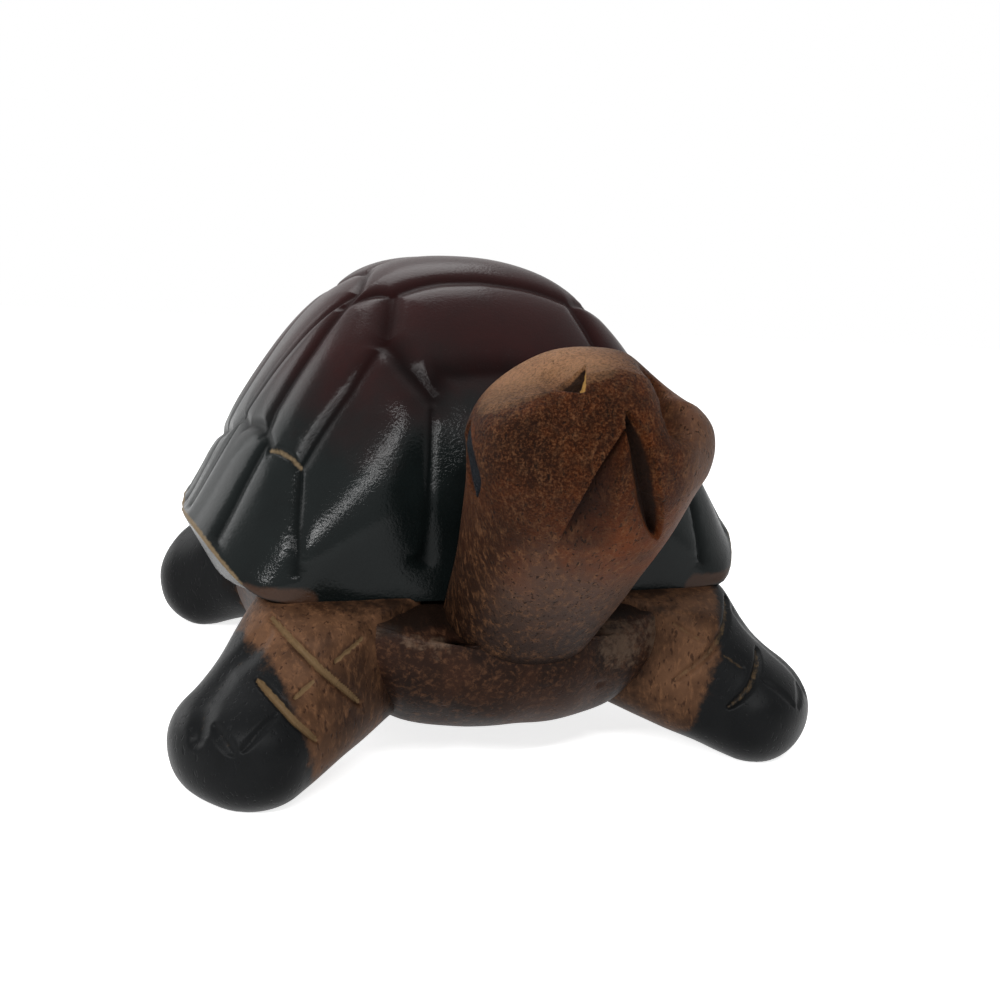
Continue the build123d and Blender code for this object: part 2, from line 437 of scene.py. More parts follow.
# down the neck: painted reflection from the floor makes the throat lighter and greyer, and painted shadow
# makes it darkest at its base
throat_shading_height = swayed(tree, height, grain_of["Patches"], 12 * MM)
tone = tint(tree, tone, (90, 69, 58), stretch(tree, throat_shading_height, 34 * MM, 20 * MM, 0.0, 0.85))
tone = tint(tree, tone, (22, 13, 10), stretch(tree, throat_shading_height, 27 * MM, 17 * MM, 0.0, 0.85))
on_right_side = stretch(tree, across, -5.5 * MM, -9.5 * MM)
tone = tint(tree, tone, (27, 13, 6), on_right_side, stretch(tree, height, 40 * MM, 30 * MM), 0.9)
on_left_side = stretch(tree, across, 5 * MM, 9 * MM)
tone = tint(tree, tone, (96, 72, 58), on_left_side, stretch(tree, height, 28 * MM, 36 * MM), 0.6)
tone = tint(tree, tone, between(tree, grain_of["Patches"], (136, 94, 64), (176, 134, 100)), top)
tone = tint(tree, tone, (126, 88, 60), stretch(tree, grain_of["Fibres"], 0.46, 0.72, 0.0, 0.55))
tone = tint(tree, tone, (22, 12, 8), grain_of["Pores"], stretch(tree, top, 0.0, 1.0, 0.85, 0.5))
# painted highlight along the brow edge
tone = tint(tree, tone, (138, 102, 72), ragged(tree, "brow", 1300.0, 0.7), 0.55)
print("colours of the head laid down")

# %% Grit, cuts and eyes of the head
gritty = mask(tree, "grit")
eye = mask(tree, "eye")
grit_noise = noise_value(tree, place, 3800.0, 5.0, 0.75)
mottle = stretch(tree, noise_value(tree, place, 620.0, 3.0, 0.6), 0.42, 0.66, 0.0, 0.5)
tone = tint(tree, tone, (16, 8, 4), gritty, stretch(tree, grit_noise, 0.60, 0.34, 0.0, 0.75))
# pale specks in the grit: partly paler grit, partly painted glints
tone = tint(tree, tone, (140, 96, 64), stretch(tree, grit_noise, 0.46, 0.68), gritty, 0.42)
tone = tint(tree, tone, (30, 15, 8), mottle, gritty, stretch(tree, top, 0.0, 0.6, 1.0, 0.15))
tone = tint(tree, tone, (22, 14, 12), mask(tree, "shaded"), 0.85)
fresh_wood = between(tree, grain_of["Fibres"], (150, 104, 48), (206, 164, 98))
tone = tint(tree, tone, fresh_wood, ragged(tree, "fresh", 1800.0, 0.4))
# painted shade in the gouge, where there is also dark stain, on the nostril chips' slopes and at the neck's
# base
tone = tint(tree, tone, (26, 17, 13), ragged(tree, "dark", 1500.0, 0.35), 0.92)
painted = stretch(tree, eye, 0.08, 0.22)
tone = tint(tree, tone, between(tree, grain_of["Patches"], (14, 15, 17), (34, 38, 44)), painted)
dull = calc(tree, "MULTIPLY_ADD", grain_of["Patches"], 0.2, 0.42)
dull = calc(tree, "MULTIPLY_ADD", painted, -0.28, dull)
roughened = calc(tree, "MULTIPLY_ADD", product(tree, grit_noise, gritty), 2.2, grain_of["Height"])
dress(head_wood, tone, dull, raise_bump(tree, roughened, 0.8, 0.32 * MM), WAX_GLOSS)

# %% [markdown]
# ## Body wood
# Chest and flanks carry a reddish brown stain with a satin wax. Round the neck's base old glue and torn
# fibres show as pale rough patches. Painted shade darkens the creases round the neck and legs, the holes,
# the torn ledge beside the neck, and the flanks under the shell.

# %% Body wood
body_wood, tree = new_finish("body_wood")
grain_of = place_grain(tree, (1.0, 0.3, 1.0), 2200.0, 120.0)
tone = stained(tree, grain_of, (24, 14, 10), (50, 31, 22), (112, 78, 56), 0.45, (36, 20, 14))
tone = tint(tree, tone, (98, 80, 66), ragged(tree, "fresh", 1100.0, 1.0), 0.65)
# painted shade in the creases, holes and ledge, and on the flanks under the shell
tone = tint(tree, tone, (22, 15, 11), ragged(tree, "dark", 1000.0, 0.6), 0.88)
dull = calc(tree, "MULTIPLY_ADD", grain_of["Patches"], 0.25, 0.34)
dress(body_wood, tone, dull, raise_bump(tree, grain_of["Height"], 0.4, 0.16 * MM), WAX_GLOSS)

# %% [markdown]
# ## Leg wood
# Each leg is brown above and was dipped in black stain at the foot, with a brushed, uneven border. The knife
# cuts came after the stain, so they are pale wood, with painted shade on their walls. Painted shade also
# darkens each leg near the body, and on the rear legs the black reaches up to the body partly as painted
# shadow. The black is smoother than the brown.

# %% Leg wood
leg_wood, tree = new_finish("leg_wood")
grain_of = place_grain(tree, (1.0, 1.0, 0.4), 2200.0, 150.0)
tone = stained(tree, grain_of, (48, 31, 21), (96, 68, 49), (132, 94, 66), 0.5, (34, 19, 13))
dipped = ragged(tree, "foot", 420.0, 0.9)
tone = tint(tree, tone, between(tree, grain_of["Patches"], (8, 9, 10), (25, 26, 27)), dipped)
# painted shade near the body and on the walls of the knife cuts
tone = tint(tree, tone, (20, 13, 10), ragged(tree, "dark", 1000.0, 0.6), 0.85)
pale_wood = between(tree, grain_of["Fibres"], (84, 66, 44), (122, 100, 72))
tone = tint(tree, tone, pale_wood, ragged(tree, "fresh", 1500.0, 0.5), 0.9)
dull = calc(tree, "MULTIPLY_ADD", grain_of["Patches"], 0.25, 0.36)
dull = calc(tree, "MULTIPLY_ADD", dipped, -0.1, dull)
dress(leg_wood, tone, dull, raise_bump(tree, grain_of["Height"], 0.4, 0.16 * MM), WAX_GLOSS)

# %% [markdown]
# ## Dowel wood
# The dowels are plain turned beech, hidden in the joints. They keep the solid model's shape and get pale
# wood with straight grain.

# %% Dowel wood
dowel_wood, tree = new_finish("dowel_wood")
grain_of = place_grain(tree, (1.0, 1.0, 0.15), 2600.0, 200.0)
tone = between(tree, grain_of["Fibres"], (176, 138, 96), (206, 172, 128))
tone = tint(tree, tone, (120, 84, 54), grain_of["Pores"], 0.5)
dull = calc(tree, "MULTIPLY_ADD", grain_of["Patches"], 0.2, 0.5)
dress(dowel_wood, tone, dull, raise_bump(tree, grain_of["Height"], 0.4, 0.12 * MM), PLAIN_GLOSS)

# %% [markdown]
# ## How the pieces are carved
# Sculpting by hand is the usual way to a form like this. In code, a fine icosphere does as the block: it has
# even triangles and no seam. Its points are slid onto the piece's main form, and then pushed in or out along
# the surface for each groove, cut and bulge. Where a cut needs it, the triangles are divided first.

# %% Points of a block
def points_of(block):
    return np.array([vertex.co for vertex in block.verts])


def move_points(block, points):
    for vertex, point in zip(block.verts, points):
        vertex.co = point


def normals_of(block):
    block.normal_update()
    return np.array([vertex.normal for vertex in block.verts])


def spot(x, y, z):
    """A place given in millimetres."""
    return np.array((x, y, z)) * MM


def unit(vectors):
    return vectors / np.linalg.norm(vectors, axis=-1, keepdims=True)


def slide_and_turn(directions):
    """From 0 at the block's north pole to 1 at its south pole, and the turn about them."""
    slide = np.arccos(np.clip(directions[:, 2], -1, 1)) / math.pi
    return slide, np.arctan2(directions[:, 1], directions[:, 0])


FLIP = np.array((-1, 1, 1))


def mirrored(places):
    return [each * FLIP for each in places]


def carving_block(detail):
    block = bmesh.new()
    bmesh.ops.create_icosphere(block, subdivisions=detail, radius=1.0)
    return block


print("a block at detail 7 has", 10 * 4**6 + 2, "points")

# %% Distance to a carved line
def nearest_on_line(points, places):
    """For each point: its distance to the line, the vector from the line, the line's direction there, and
    how far along the line that is; with the line's length."""
    gap = np.full(len(points), np.inf)
    away = np.zeros_like(points)
    heading = np.zeros_like(points)
    along = np.zeros(len(points))
    passed = 0.0
    for start, end in zip(places[:-1], places[1:]):
        run = end - start
        length = np.linalg.norm(run)
        share = np.clip((points - start) @ run / length**2, 0, 1)
        offset = points - start - share[:, None] * run
        distance = np.linalg.norm(offset, axis=1)
        closer = distance < gap
        gap[closer] = distance[closer]
        away[closer] = offset[closer]
        heading[closer] = run / length
        along[closer] = passed + share[closer] * length
        passed += length
    return gap, away, heading, along, passed


def skin_of(form, detail=6):
    """The main form as a skin that lines can be laid on."""
    block = carving_block(detail)
    move_points(block, form(points_of(block)))
    skin = BVHTree.FromBMesh(block)
    block.free()
    return skin


def divided(places, steps=6):
    """The same line with more points on it."""
    shares = np.linspace(0, 1, steps, endpoint=False)
    runs = zip(places[:-1], places[1:])
    return [a + (b - a) * share for a, b in runs for share in shares] + [places[-1]]


def laid_on(skin, places):
    """A line of places, moved onto the skin."""
    return [np.array(skin.find_nearest(Vector(each))[0]) for each in divided(places)]


def seen_on(skin, *pixels):
    """A line drawn in the picture, laid on the skin where the camera sees it."""
    drawn = divided([np.array(each) for each in pixels])
    hits = [skin.ray_cast(camera_place, sight(*each))[0] for each in drawn]
    return [np.array(hit) for hit in hits if hit is not None]


def refine(block, form, lines, reach):
    """Divides the triangles that lie within reach of the lines, and keeps the block a sphere."""
    points = form(points_of(block))
    near = np.zeros(len(points), bool)
    for places in lines:
        near |= nearest_on_line(points, places)[0] < reach
    chosen = set(np.flatnonzero(near))
    edges = [e for e in block.edges if e.verts[0].index in chosen and e.verts[1].index in chosen]
    bmesh.ops.subdivide_edges(block, edges=edges, cuts=1, use_grid_fill=True)
    bmesh.ops.triangulate(block, faces=[face for face in block.faces if len(face.verts) > 3])
    block.verts.index_update()
    move_points(block, unit(points_of(block)))


def shaped_block(detail, form, lines=(), reach=0.0):
    """A block on its main form, divided along the lines; with its points and their normals."""
    block = carving_block(detail)
    if lines:
        refine(block, form, lines, reach)
    points = form(points_of(block))
    move_points(block, points)
    return block, points, normals_of(block)


print("tools for lines ready")

# %% Soft edges
def soft_step(value):
    value = np.clip(value, 0, 1)
    return value * value * (3 - 2 * value)


def beyond(value, start, width):
    """0 up to a start, rising softly to 1 over a width, in mm. With a negative width it falls instead."""
    return soft_step((value - start * MM) / (width * MM))


def fall_off(gap, width):
    """1 at no gap, falling like a bell over a width in mm."""
    return np.exp(-((gap / (width * MM)) ** 2))


print("soft edges ready")

# %% Knife marks and bulges
def v_cut(points, places, width, leaf):
    """0 to 1 into a V-shaped cut, which narrows to a point at both ends as a leaf does."""
    gap, _, _, along, length = nearest_on_line(points, places)
    width = width * np.clip(np.sin(math.pi * along / length), 0.02, 1) ** leaf
    return np.clip(1 - gap / (width / 2), 0, 1)


def one_sided_cut(points, normals, places, steep, gentle, fade=0.0, stop=0.0):
    """0 to 1 into a cut that widens along its line, with a steep wall on the left and a gentle slope on the
    right. It may fade out, or stop short at the end of its line."""
    gap, away, heading, along, length = nearest_on_line(points, places)
    side = np.einsum("ij,ij->i", np.cross(heading, normals), away)
    width = np.where(side > 0, steep, gentle) * np.clip(along / length, 0.05, 1)
    depth = np.clip(1 - gap / width, 0, 1)
    if fade:
        depth = depth * soft_step((length - along) / fade)
    if stop:
        last_run = places[-1] - places[-2]
        past = (points - places[-1]) @ last_run / np.linalg.norm(last_run)
        depth = depth * soft_step(1 - past / stop)
    return depth


def swelling(points, centre, radius):
    """1 at the centre of a round swelling, falling smoothly to 0 at its radius."""
    gap = np.linalg.norm(points - centre, axis=1) / radius
    return np.clip(1 - gap**2, 0, 1) ** 2


def swell(points, side, centre, radius, shift):
    """How a round swelling moves points, on the turtle's right (-1) or left (1). Its measures are in mm."""
    flip = np.array((side, 1, 1))
    return swelling(points, spot(*centre) * flip, radius * MM)[:, None] * spot(*shift) * flip


def hand_waver(points, scale, seed):
    """The slow unevenness that a knife leaves, from -1 to 1."""
    shift = Vector((seed, 2 * seed, 3 * seed))
    return np.array([noise.noise(Vector(point) / scale + shift) for point in points])


print("knife marks ready")

# %% From block to piece
def finish_piece(block, title, node, finish, masks):
    """Makes the carved block an object that stands for its node and rides on the body."""
    bmesh.ops.recalc_face_normals(block, faces=block.faces)
    mesh = bpy.data.meshes.new(title)
    block.to_mesh(mesh)
    block.free()
    for name, values in masks.items():
        mesh.attributes.new(name, "FLOAT", "POINT").data.foreach_set("value", np.asarray(values, float))
    mesh.shade_smooth()
    mesh.materials.append(finish)
    piece = bpy.data.objects.new(title, mesh)
    bpy.context.scene.collection.objects.link(piece)
    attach(piece, "root")
    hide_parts(node)
    print(title, "has", len(mesh.polygons), "faces")


print("pieces can be finished")

# %% [markdown]
# ## The shell
# The carapace is a blunt dome on a tucked rim. It could be a scaled sphere, but the real one is squarer in
# plan, wider at the front and highest before its middle, so the block's points go onto a rounded oblong that
# shrinks towards the crown. Every step of the block's polar angle takes an equal length of the profile.

# %% Main form of the shell
shell_low, shell_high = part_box("carapace")
SHELL_HALF_LENGTH = 38.5 * MM
SHELL_HALF_WIDTH = 33.5 * MM
SHELL_MIDDLE_Y = shell_high.y - SHELL_HALF_LENGTH
SEAT_Z = shell_low.z
CROWN_Z = shell_high.z
RIM_Z = SEAT_Z + 4.5 * MM
RIM_TUCK = 3.6 * MM
CROWN_SHIFT = 4.0 * MM
FRONT_FLARE = 0.12
SHELL_POWER = 3.2
DOME_FULLNESS = 2.65
FLANK_HOLLOW = 1.2


def oblong_radius(turn, half_width, half_length, power):
    across = np.abs(np.cos(turn)) / half_width
    along = np.abs(np.sin(turn)) / half_length
    return (across**power + along**power) ** (-1 / power)


def dome_height(share):
    return RIM_Z + (CROWN_Z - RIM_Z) * (1 - share**DOME_FULLNESS) ** FLANK_HOLLOW


def dome_point(turn, share, z):
    radius = oblong_radius(turn, SHELL_HALF_WIDTH, SHELL_HALF_LENGTH, SHELL_POWER)
    y = radius * np.sin(turn)
    x = radius * np.cos(turn) * (1 - FRONT_FLARE * y / SHELL_HALF_LENGTH)
    middle = SHELL_MIDDLE_Y - CROWN_SHIFT * (1 - share)
    return np.column_stack((share * x, middle + share * y, z))


dome_share = np.linspace(0, 1, 300)
tuck_share = 1 - RIM_TUCK / SHELL_HALF_WIDTH
profile_share = np.concatenate((dome_share, [tuck_share, 0.0]))
profile_z = np.concatenate((dome_height(dome_share), [SEAT_Z, SEAT_Z]))
profile_step = np.hypot(np.diff(profile_share) * SHELL_HALF_LENGTH, np.diff(profile_z))
# the flat underside needs few points
profile_step[-1] *= 0.15
profile_at = np.concatenate(([0], np.cumsum(profile_step))) / profile_step.sum()


FRONT_WALL_Y = SHELL_MIDDLE_Y - SHELL_HALF_LENGTH + 6.2 * MM
FRONT_WALL_LEAN = math.tan(math.radians(6.5))
RIM_AT_Y = np.array((-24.0, -20.3, -17.0, -13.7, -10.0, -5.0, 2.0, 10.0)) * MM
RIM_LIFT = np.array((-4.2, -1.9, 0.2, 1.4, 2.0, 2.0, 1.2, 0.0)) * MM
LIFT_FROM = 0.6
LIFT_CURVE = 1.6


def soft_floor(value, radius):
    """The larger of value and 0, with a rounded turn."""
    return radius * np.logaddexp(0, value / radius)


def shell_form(directions):
    slide, turn = slide_and_turn(directions)
    share = np.interp(slide, profile_at, profile_share)
    points = dome_point(turn, share, np.interp(slide, profile_at, profile_z))
    # the rim is not level: it rises over the flank and drops to the shoulder
    on_dome = slide <= profile_at[len(dome_share) - 1]
    down_dome = np.clip((share - LIFT_FROM) / (1 - LIFT_FROM), 0, 1) ** LIFT_CURVE
    up_tuck = (points[:, 2] - SEAT_Z) / (RIM_Z - SEAT_Z)
    near_rim = np.where(on_dome, down_dome, up_tuck)
    points[:, 2] += near_rim * np.interp(points[:, 1], RIM_AT_Y, RIM_LIFT)
    # the front is cut back to a wall, so that the shell arches over the neck
    wall_y = FRONT_WALL_Y - (points[:, 2] - SEAT_Z) * FRONT_WALL_LEAN
    points[:, 1] = wall_y + soft_floor(points[:, 1] - wall_y, 0.5 * MM)
    return points


shell_skin = skin_of(shell_form)
print("dome height in mm:", round((CROWN_Z - RIM_Z) / MM, 2))

# %% [markdown]
# The scute lines are easiest to draw in plan, as seen from above, and to drop straight down onto the dome.
# Lines that the photograph hides, at the back, go on in the same pattern.

# %% Scute lines
def from_above(*plan):
    """Plan points in millimetres, joined by lines that lie on the dome."""
    high_up = 200.0
    dropped = []
    for each in divided([spot(x, y, high_up) for x, y in plan]):
        hit = shell_skin.ray_cast(Vector(each), Vector((0, 0, -1)))[0]
        if hit is None:
            hit = shell_skin.find_nearest(Vector((each[0], each[1], RIM_Z)))[0]
        dropped.append(np.array(hit))
    return dropped


# Turtle's right side. Each line: its plan points, the groove's width and depth in mm, and how worn it is.
SIDE_GROOVES = [
    ([(-11.5, -9.4), (-13.6, -15.0)], 2.2, 0.75, 0.0),
    ([(-13.6, -15.0), (-11.8, -17.6), (-9.4, -19.8)], 3.0, 1.0, 0.0),
    ([(-13.6, -15.0), (-18.0, -17.2), (-23.7, -18.9)], 2.0, 0.55, 0.0),
    ([(-9.4, -19.8), (-10.5, -24.4), (-11.2, -28.0)], 1.1, 0.4, 0.25),
    ([(-11.5, -9.4), (-13.1, -7.9), (-16.8, -5.8)], 1.8, 0.6, 0.0),
    ([(-14.8, -4.9), (-20.9, -8.9), (-25.7, -11.0), (-26.7, -12.4)], 1.8, 0.65, 0.12),
    ([(-26.7, -12.1), (-26.6, -14.9)], 1.5, 0.55, 0.0),
    ([(-26.6, -14.9), (-23.9, -19.1)], 1.0, 0.5, 0.6),
    ([(-24.0, -19.2), (-24.5, -22.0), (-24.9, -24.8)], 1.1, 0.6, 0.3),
    ([(-26.8, -13.8), (-29.5, -14.6), (-32.6, -15.8)], 1.5, 0.5, 0.1),
    ([(-14.8, -4.9), (-12.2, 0.9), (-11.5, 5.1)], 1.7, 0.6, 0.0),
    ([(-14.8, -4.9), (-20.0, -3.0), (-27.6, -1.0)], 1.7, 0.6, 0.0),
    ([(-27.6, -1.0), (-33.4, -1.7)], 1.5, 0.5, 0.15),
    ([(-26.7, -12.1), (-27.9, -6.0), (-27.6, -1.0), (-28.2, 6.0), (-27.8, 12.6)], 1.6, 0.55, 0.1),
    ([(-11.5, 5.1), (-14.3, 12.2), (-11.2, 18.6)], 1.7, 0.6, 0.0),
    ([(-14.3, 12.2), (-27.8, 12.6)], 1.7, 0.6, 0.0),
    ([(-27.8, 12.6), (-33.6, 12.9)], 1.5, 0.5, 0.15),
    ([(-28.2, 6.0), (-33.6, 5.9)], 1.5, 0.5, 0.1),
    ([(-11.2, 18.6), (-13.2, 25.1), (-9.4, 30.6)], 1.7, 0.6, 0.0),
    ([(-13.2, 25.1), (-26.0, 26.6)], 1.7, 0.6, 0.0),
    ([(-27.8, 12.6), (-27.4, 19.8), (-26.0, 26.6), (-20.4, 35.8), (-8.5, 38.5)], 1.6, 0.55, 0.1),
    ([(-27.4, 19.8), (-33.0, 20.4)], 1.5, 0.5, 0.1),
    ([(-26.0, 26.6), (-31.8, 28.2)], 1.5, 0.5, 0.15),
    ([(-23.6, 31.4), (-28.6, 35.2)], 1.5, 0.5, 0.1),
    ([(-20.4, 35.8), (-23.6, 41.0)], 1.5, 0.5, 0.1),
    ([(-14.0, 37.4), (-16.0, 44.2)], 1.5, 0.5, 0.1),
    ([(-9.4, 30.6), (-11.3, 35.0), (-8.5, 38.5)], 1.7, 0.6, 0.0),
    ([(-8.5, 38.5), (-8.9, 45.6)], 1.5, 0.5, 0.1),
]
# Lines across the middle, from the right side to the left.
CROSS_GROOVES = [
    ([(-11.5, -9.4), (-5.3, -8.3), (0, -7.9), (5.3, -8.3), (11.5, -9.4)], 2.2, 0.55, 0.0),
    ([(-9.4, -19.8), (-7.9, -18.3), (0, -18.0), (7.9, -18.3), (9.4, -19.8)], 3.6, 0.6, 0.05),
    ([(-11.5, 5.1), (0, 5.5), (11.5, 5.1)], 1.8, 0.55, 0.0),
    ([(-11.2, 18.6), (0, 19.0), (11.2, 18.6)], 1.8, 0.55, 0.0),
    ([(-9.4, 30.6), (0, 31.2), (9.4, 30.6)], 1.8, 0.55, 0.0),
    ([(-8.5, 38.5), (0, 38.9), (8.5, 38.5)], 1.6, 0.5, 0.1),
    ([(0, 38.9), (0, 46.0)], 1.5, 0.5, 0.1),
]
LEFT_WEAR = 0.6
grooves = []
for plan, width, depth, worn in SIDE_GROOVES:
    right = from_above(*plan)
    grooves.append((right, width, depth * MM, worn))
    grooves.append((mirrored(right), width, depth * MM, worn * LEFT_WEAR))
for plan, width, depth, worn in CROSS_GROOVES:
    grooves.append((from_above(*plan), width, depth * MM, worn))
# The front corner of the large side scute is a soft ridge, on which the window light catches.
CORNER_RIDGE = seen_on(shell_skin, (392, 372), (404, 420), (375, 480), (310, 545))
print("scute grooves:", len(grooves))

# %% Block and rim of the shell
RIM_STEPS = 121
rim_turns = np.linspace(0, 2 * math.pi, RIM_STEPS)
rim_slide = math.pi * profile_at[len(dome_share) - 1]
rim_directions = np.column_stack((
    np.cos(rim_turns) * math.sin(rim_slide),
    np.sin(rim_turns) * math.sin(rim_slide),
    np.full(RIM_STEPS, math.cos(rim_slide)),
))
rim_line = list(shell_form(rim_directions))
shell, points, normals = shaped_block(7, shell_form, [each[0] for each in grooves], 1.3 * MM)
rim_gap = nearest_on_line(points, rim_line)[0]
on_top = soft_step(rim_gap / (1.5 * MM)) * (normals[:, 2] > -0.2)
print("points of the shell:", len(points))

# %% Carve the shell
WAVER_HEIGHT = 0.14 * MM
RIDGE_HEIGHT = 0.9 * MM
SETTLED_DEPTH = 0.35 * MM
GROOVE_SHARE = 0.8
groove_depth, groove_mask, worn_mask, settled = np.zeros((4, len(points)))
for places, width, depth, worn in grooves:
    gap = nearest_on_line(points, places)[0]
    into = fall_off(gap, 0.5 * width)
    groove_depth = np.maximum(groove_depth, into * depth)
    groove_mask = np.maximum(groove_mask, into)
    worn_mask = np.maximum(worn_mask, into * worn)
    settled = np.maximum(settled, fall_off(gap, 2.8))
ridge = fall_off(nearest_on_line(points, CORNER_RIDGE)[0], 4.5)
raised = WAVER_HEIGHT * hand_waver(points, 9 * MM, 3.0) + RIDGE_HEIGHT * ridge
push = (raised - SETTLED_DEPTH * settled - GROOVE_SHARE * groove_depth) * on_top
move_points(shell, points + normals * push[:, None])
rim_verts = [vertex for vertex, gap in zip(shell.verts, rim_gap) if gap < 1.3 * MM]
all_ways = {"use_axis_x": True, "use_axis_y": True, "use_axis_z": True}
for _ in range(4):
    bmesh.ops.smooth_vert(shell, verts=rim_verts, factor=0.5, **all_ways)
print("deepest groove in mm:", round(GROOVE_SHARE * groove_depth.max() / MM, 2))

# %% Wear of the shell
x, y, z = points.T
at_flank = soft_step((y - FRONT_WALL_Y) / (4 * MM))
fading = beyond(z, 22.5, -3) * beyond(np.abs(x), 21, 3) * beyond(y, -12, -6)
rim_wear = np.clip(1.2 - rim_gap / (0.8 * MM), 0, 1) * at_flank
rim_wear = rim_wear * (0.75 + 0.3 * hand_waver(points, 14 * MM, 5.0))
finish_piece(shell, "shell", "carapace", shell_lacquer, {
    "groove": groove_mask * on_top,
    "worn": np.maximum(worn_mask * on_top, rim_wear),
    "fading": fading,
    # painted shade on the faces that turn down
    "under": soft_step((-0.25 - normals[:, 2]) / 0.2),
})

# %% [markdown]
# ## Limbs
# Head and legs are limbs: a section that changes along a path and closes in a rounded end. A loft or a
# skinned curve would do, but a block mapped along the path can be carved with the same tools as the shell.
# The block's north pole becomes the tip, and its south pole the flat root inside the body.

# %% Main form of a limb
CAP_SHARE = 0.36
ROOT_SHARE = 0.06


class LimbForm:
    def __init__(self, root, bend, end, root_size, end_size, cap_length, power):
        self.root, self.bend, self.end = root, bend, end
        self.root_size = np.array(root_size) * MM
        self.end_size = np.array(end_size) * MM
        self.cap_length = cap_length * MM
        self.power = power

    def axes(self, along):
        """Places on the path, with the level, the deep and the lengthwise direction there."""
        t = np.atleast_1d(along)[:, None]
        middle = (1 - t) ** 2 * self.root + 2 * t * (1 - t) * self.bend + t**2 * self.end
        lengthwise = unit((1 - t) * (self.bend - self.root) + t * (self.end - self.bend))
        sideways = unit(np.cross(lengthwise, np.array((0.0, 0.0, 1.0))))
        return middle, sideways, np.cross(lengthwise, sideways), lengthwise

    def __call__(self, directions):
        slide, turn = slide_and_turn(directions)
        cap = np.clip(slide / CAP_SHARE, 0, 1) * math.pi / 2
        along = np.clip((1 - ROOT_SHARE - slide) / (1 - ROOT_SHARE - CAP_SHARE), 0, 1)
        closing = np.clip((1 - slide) / ROOT_SHARE, 0, 1)
        middle, sideways, deep, lengthwise = self.axes(along)
        size = self.root_size + (self.end_size - self.root_size) * along[:, None]
        reach = (np.sin(cap) * closing)[:, None] * size / 2
        box = oblong_radius(turn, 1.0, 1.0, self.power)
        across = (box * np.cos(turn))[:, None] * reach[:, :1] * sideways
        down = (box * np.sin(turn))[:, None] * reach[:, 1:] * deep
        return middle + across + down + (self.cap_length * np.cos(cap))[:, None] * lengthwise

    def gap(self, points):
        """Roughly how far points lie outside the limb's skin; negative inside."""
        best = np.full(len(points), np.inf)
        for along in np.linspace(0, 1, 25):
            middle, sideways, deep, lengthwise = (each[0] for each in self.axes(along))
            half = (self.root_size + (self.end_size - self.root_size) * along) / 2
            offset = points - middle
            u = offset @ sideways / half[0]
            v = offset @ deep / half[1]
            w = offset @ lengthwise / (self.cap_length if along == 1 else 2.5 * MM)
            best = np.minimum(best, (np.sqrt(u * u + v * v + w * w) - 1) * half.min())
        return best


body_low, body_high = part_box("body")
BODY_FRONT_Y = body_low.y
BODY_HALF_LENGTH = 38.5 * MM
BODY_MIDDLE_Y = BODY_FRONT_Y + BODY_HALF_LENGTH
BODY_REAR_Y = BODY_FRONT_Y + 2 * BODY_HALF_LENGTH
neck_root = np.array((0, BODY_FRONT_Y + 9.5 * MM, SEAT_Z - 5.0 * MM))
neck_bend = neck_root + spot(0, -15.5, 16.0)
eye_level = neck_bend + spot(0, -3.5, 8.5)
head_form = LimbForm(neck_root, neck_bend, eye_level, (15.4, 15.2), (24.4, 19.2), 10.2, 2.2)


def leg_form(side, front):
    if front:
        hip = np.array((side * 15 * MM, BODY_FRONT_Y + 15.5 * MM, SEAT_Z - 7.4 * MM))
        toe = np.array((side * 30.8 * MM, hip[1] - 11.7 * MM, 5.5 * MM))
        return LimbForm(hip, (hip + toe) / 2, toe, (17.0, 13.6), (17.0, 12.8), 6.6, 2.2)
    hip = np.array((side * 15 * MM, BODY_REAR_Y - 16 * MM, SEAT_Z - 7.6 * MM))
    toe = np.array((side * 25.8 * MM, hip[1] + 11 * MM, 6.6 * MM))
    return LimbForm(hip, (hip + toe) / 2, toe, (16.0, 13.0), (15.6, 14.8), 7.0, 2.2)


leg_forms = {
    "front_right_leg": leg_form(-1, True),
    "front_left_leg": leg_form(1, True),
    "rear_right_leg": leg_form(-1, False),
    "rear_left_leg": leg_form(1, False),
}
print("limbs:", ["head_and_neck", *leg_forms])

# %% [markdown]
# ## Body
# The body is one block under the shell: flat on top, straight at the flanks, rounded to a flat belly. The
# tail is carved with it, so its points are drawn out of the rear end. Round the neck and legs a crease is
# pressed in, because the seats are not filled to the surface.

# %% Main form of the body
BODY_HALF_WIDTH = 25.5 * MM
BELLY_Z = 4.4 * MM
BELLY_ROUND = 9.0 * MM
BELLY_INSET = 7.6 * MM
BODY_POWER = 2.5
CHEST_SLOPE = math.tan(math.radians(24))
TAIL_ROOT = spot(0, 45.1, 9.2)
TAIL_RADIUS = 5.2 * MM
TAIL_PULL = spot(0, 6.4, -1.4)

BELLY_STEPS = 30
belly_turn = np.linspace(0, math.pi / 2, BELLY_STEPS)
body_inset = np.concatenate(([0, 0], BELLY_INSET * (1 - np.cos(belly_turn)), [BELLY_INSET]))
body_share = np.concatenate(([0, 1], np.ones(BELLY_STEPS), [0]))
body_z = np.concatenate(([SEAT_Z, SEAT_Z], BELLY_Z + BELLY_ROUND * (1 - np.sin(belly_turn)), [BELLY_Z]))
body_step = np.hypot(np.diff(body_share) * BODY_HALF_WIDTH + np.diff(body_inset), np.diff(body_z))
# the flat top under the shell needs few points
body_step[0] *= 0.3
body_at = np.concatenate(([0], np.cumsum(body_step))) / body_step.sum()


def under_chest_slope(points, above):
    """Keeps points under the shell's seat, and under the slope before the shell's front wall."""
    slope_z = SEAT_Z + above - soft_floor(FRONT_WALL_Y - points[:, 1], 1.0 * MM) * CHEST_SLOPE
    points[:, 2] = slope_z - soft_floor(slope_z - points[:, 2], 0.5 * MM)
    return points


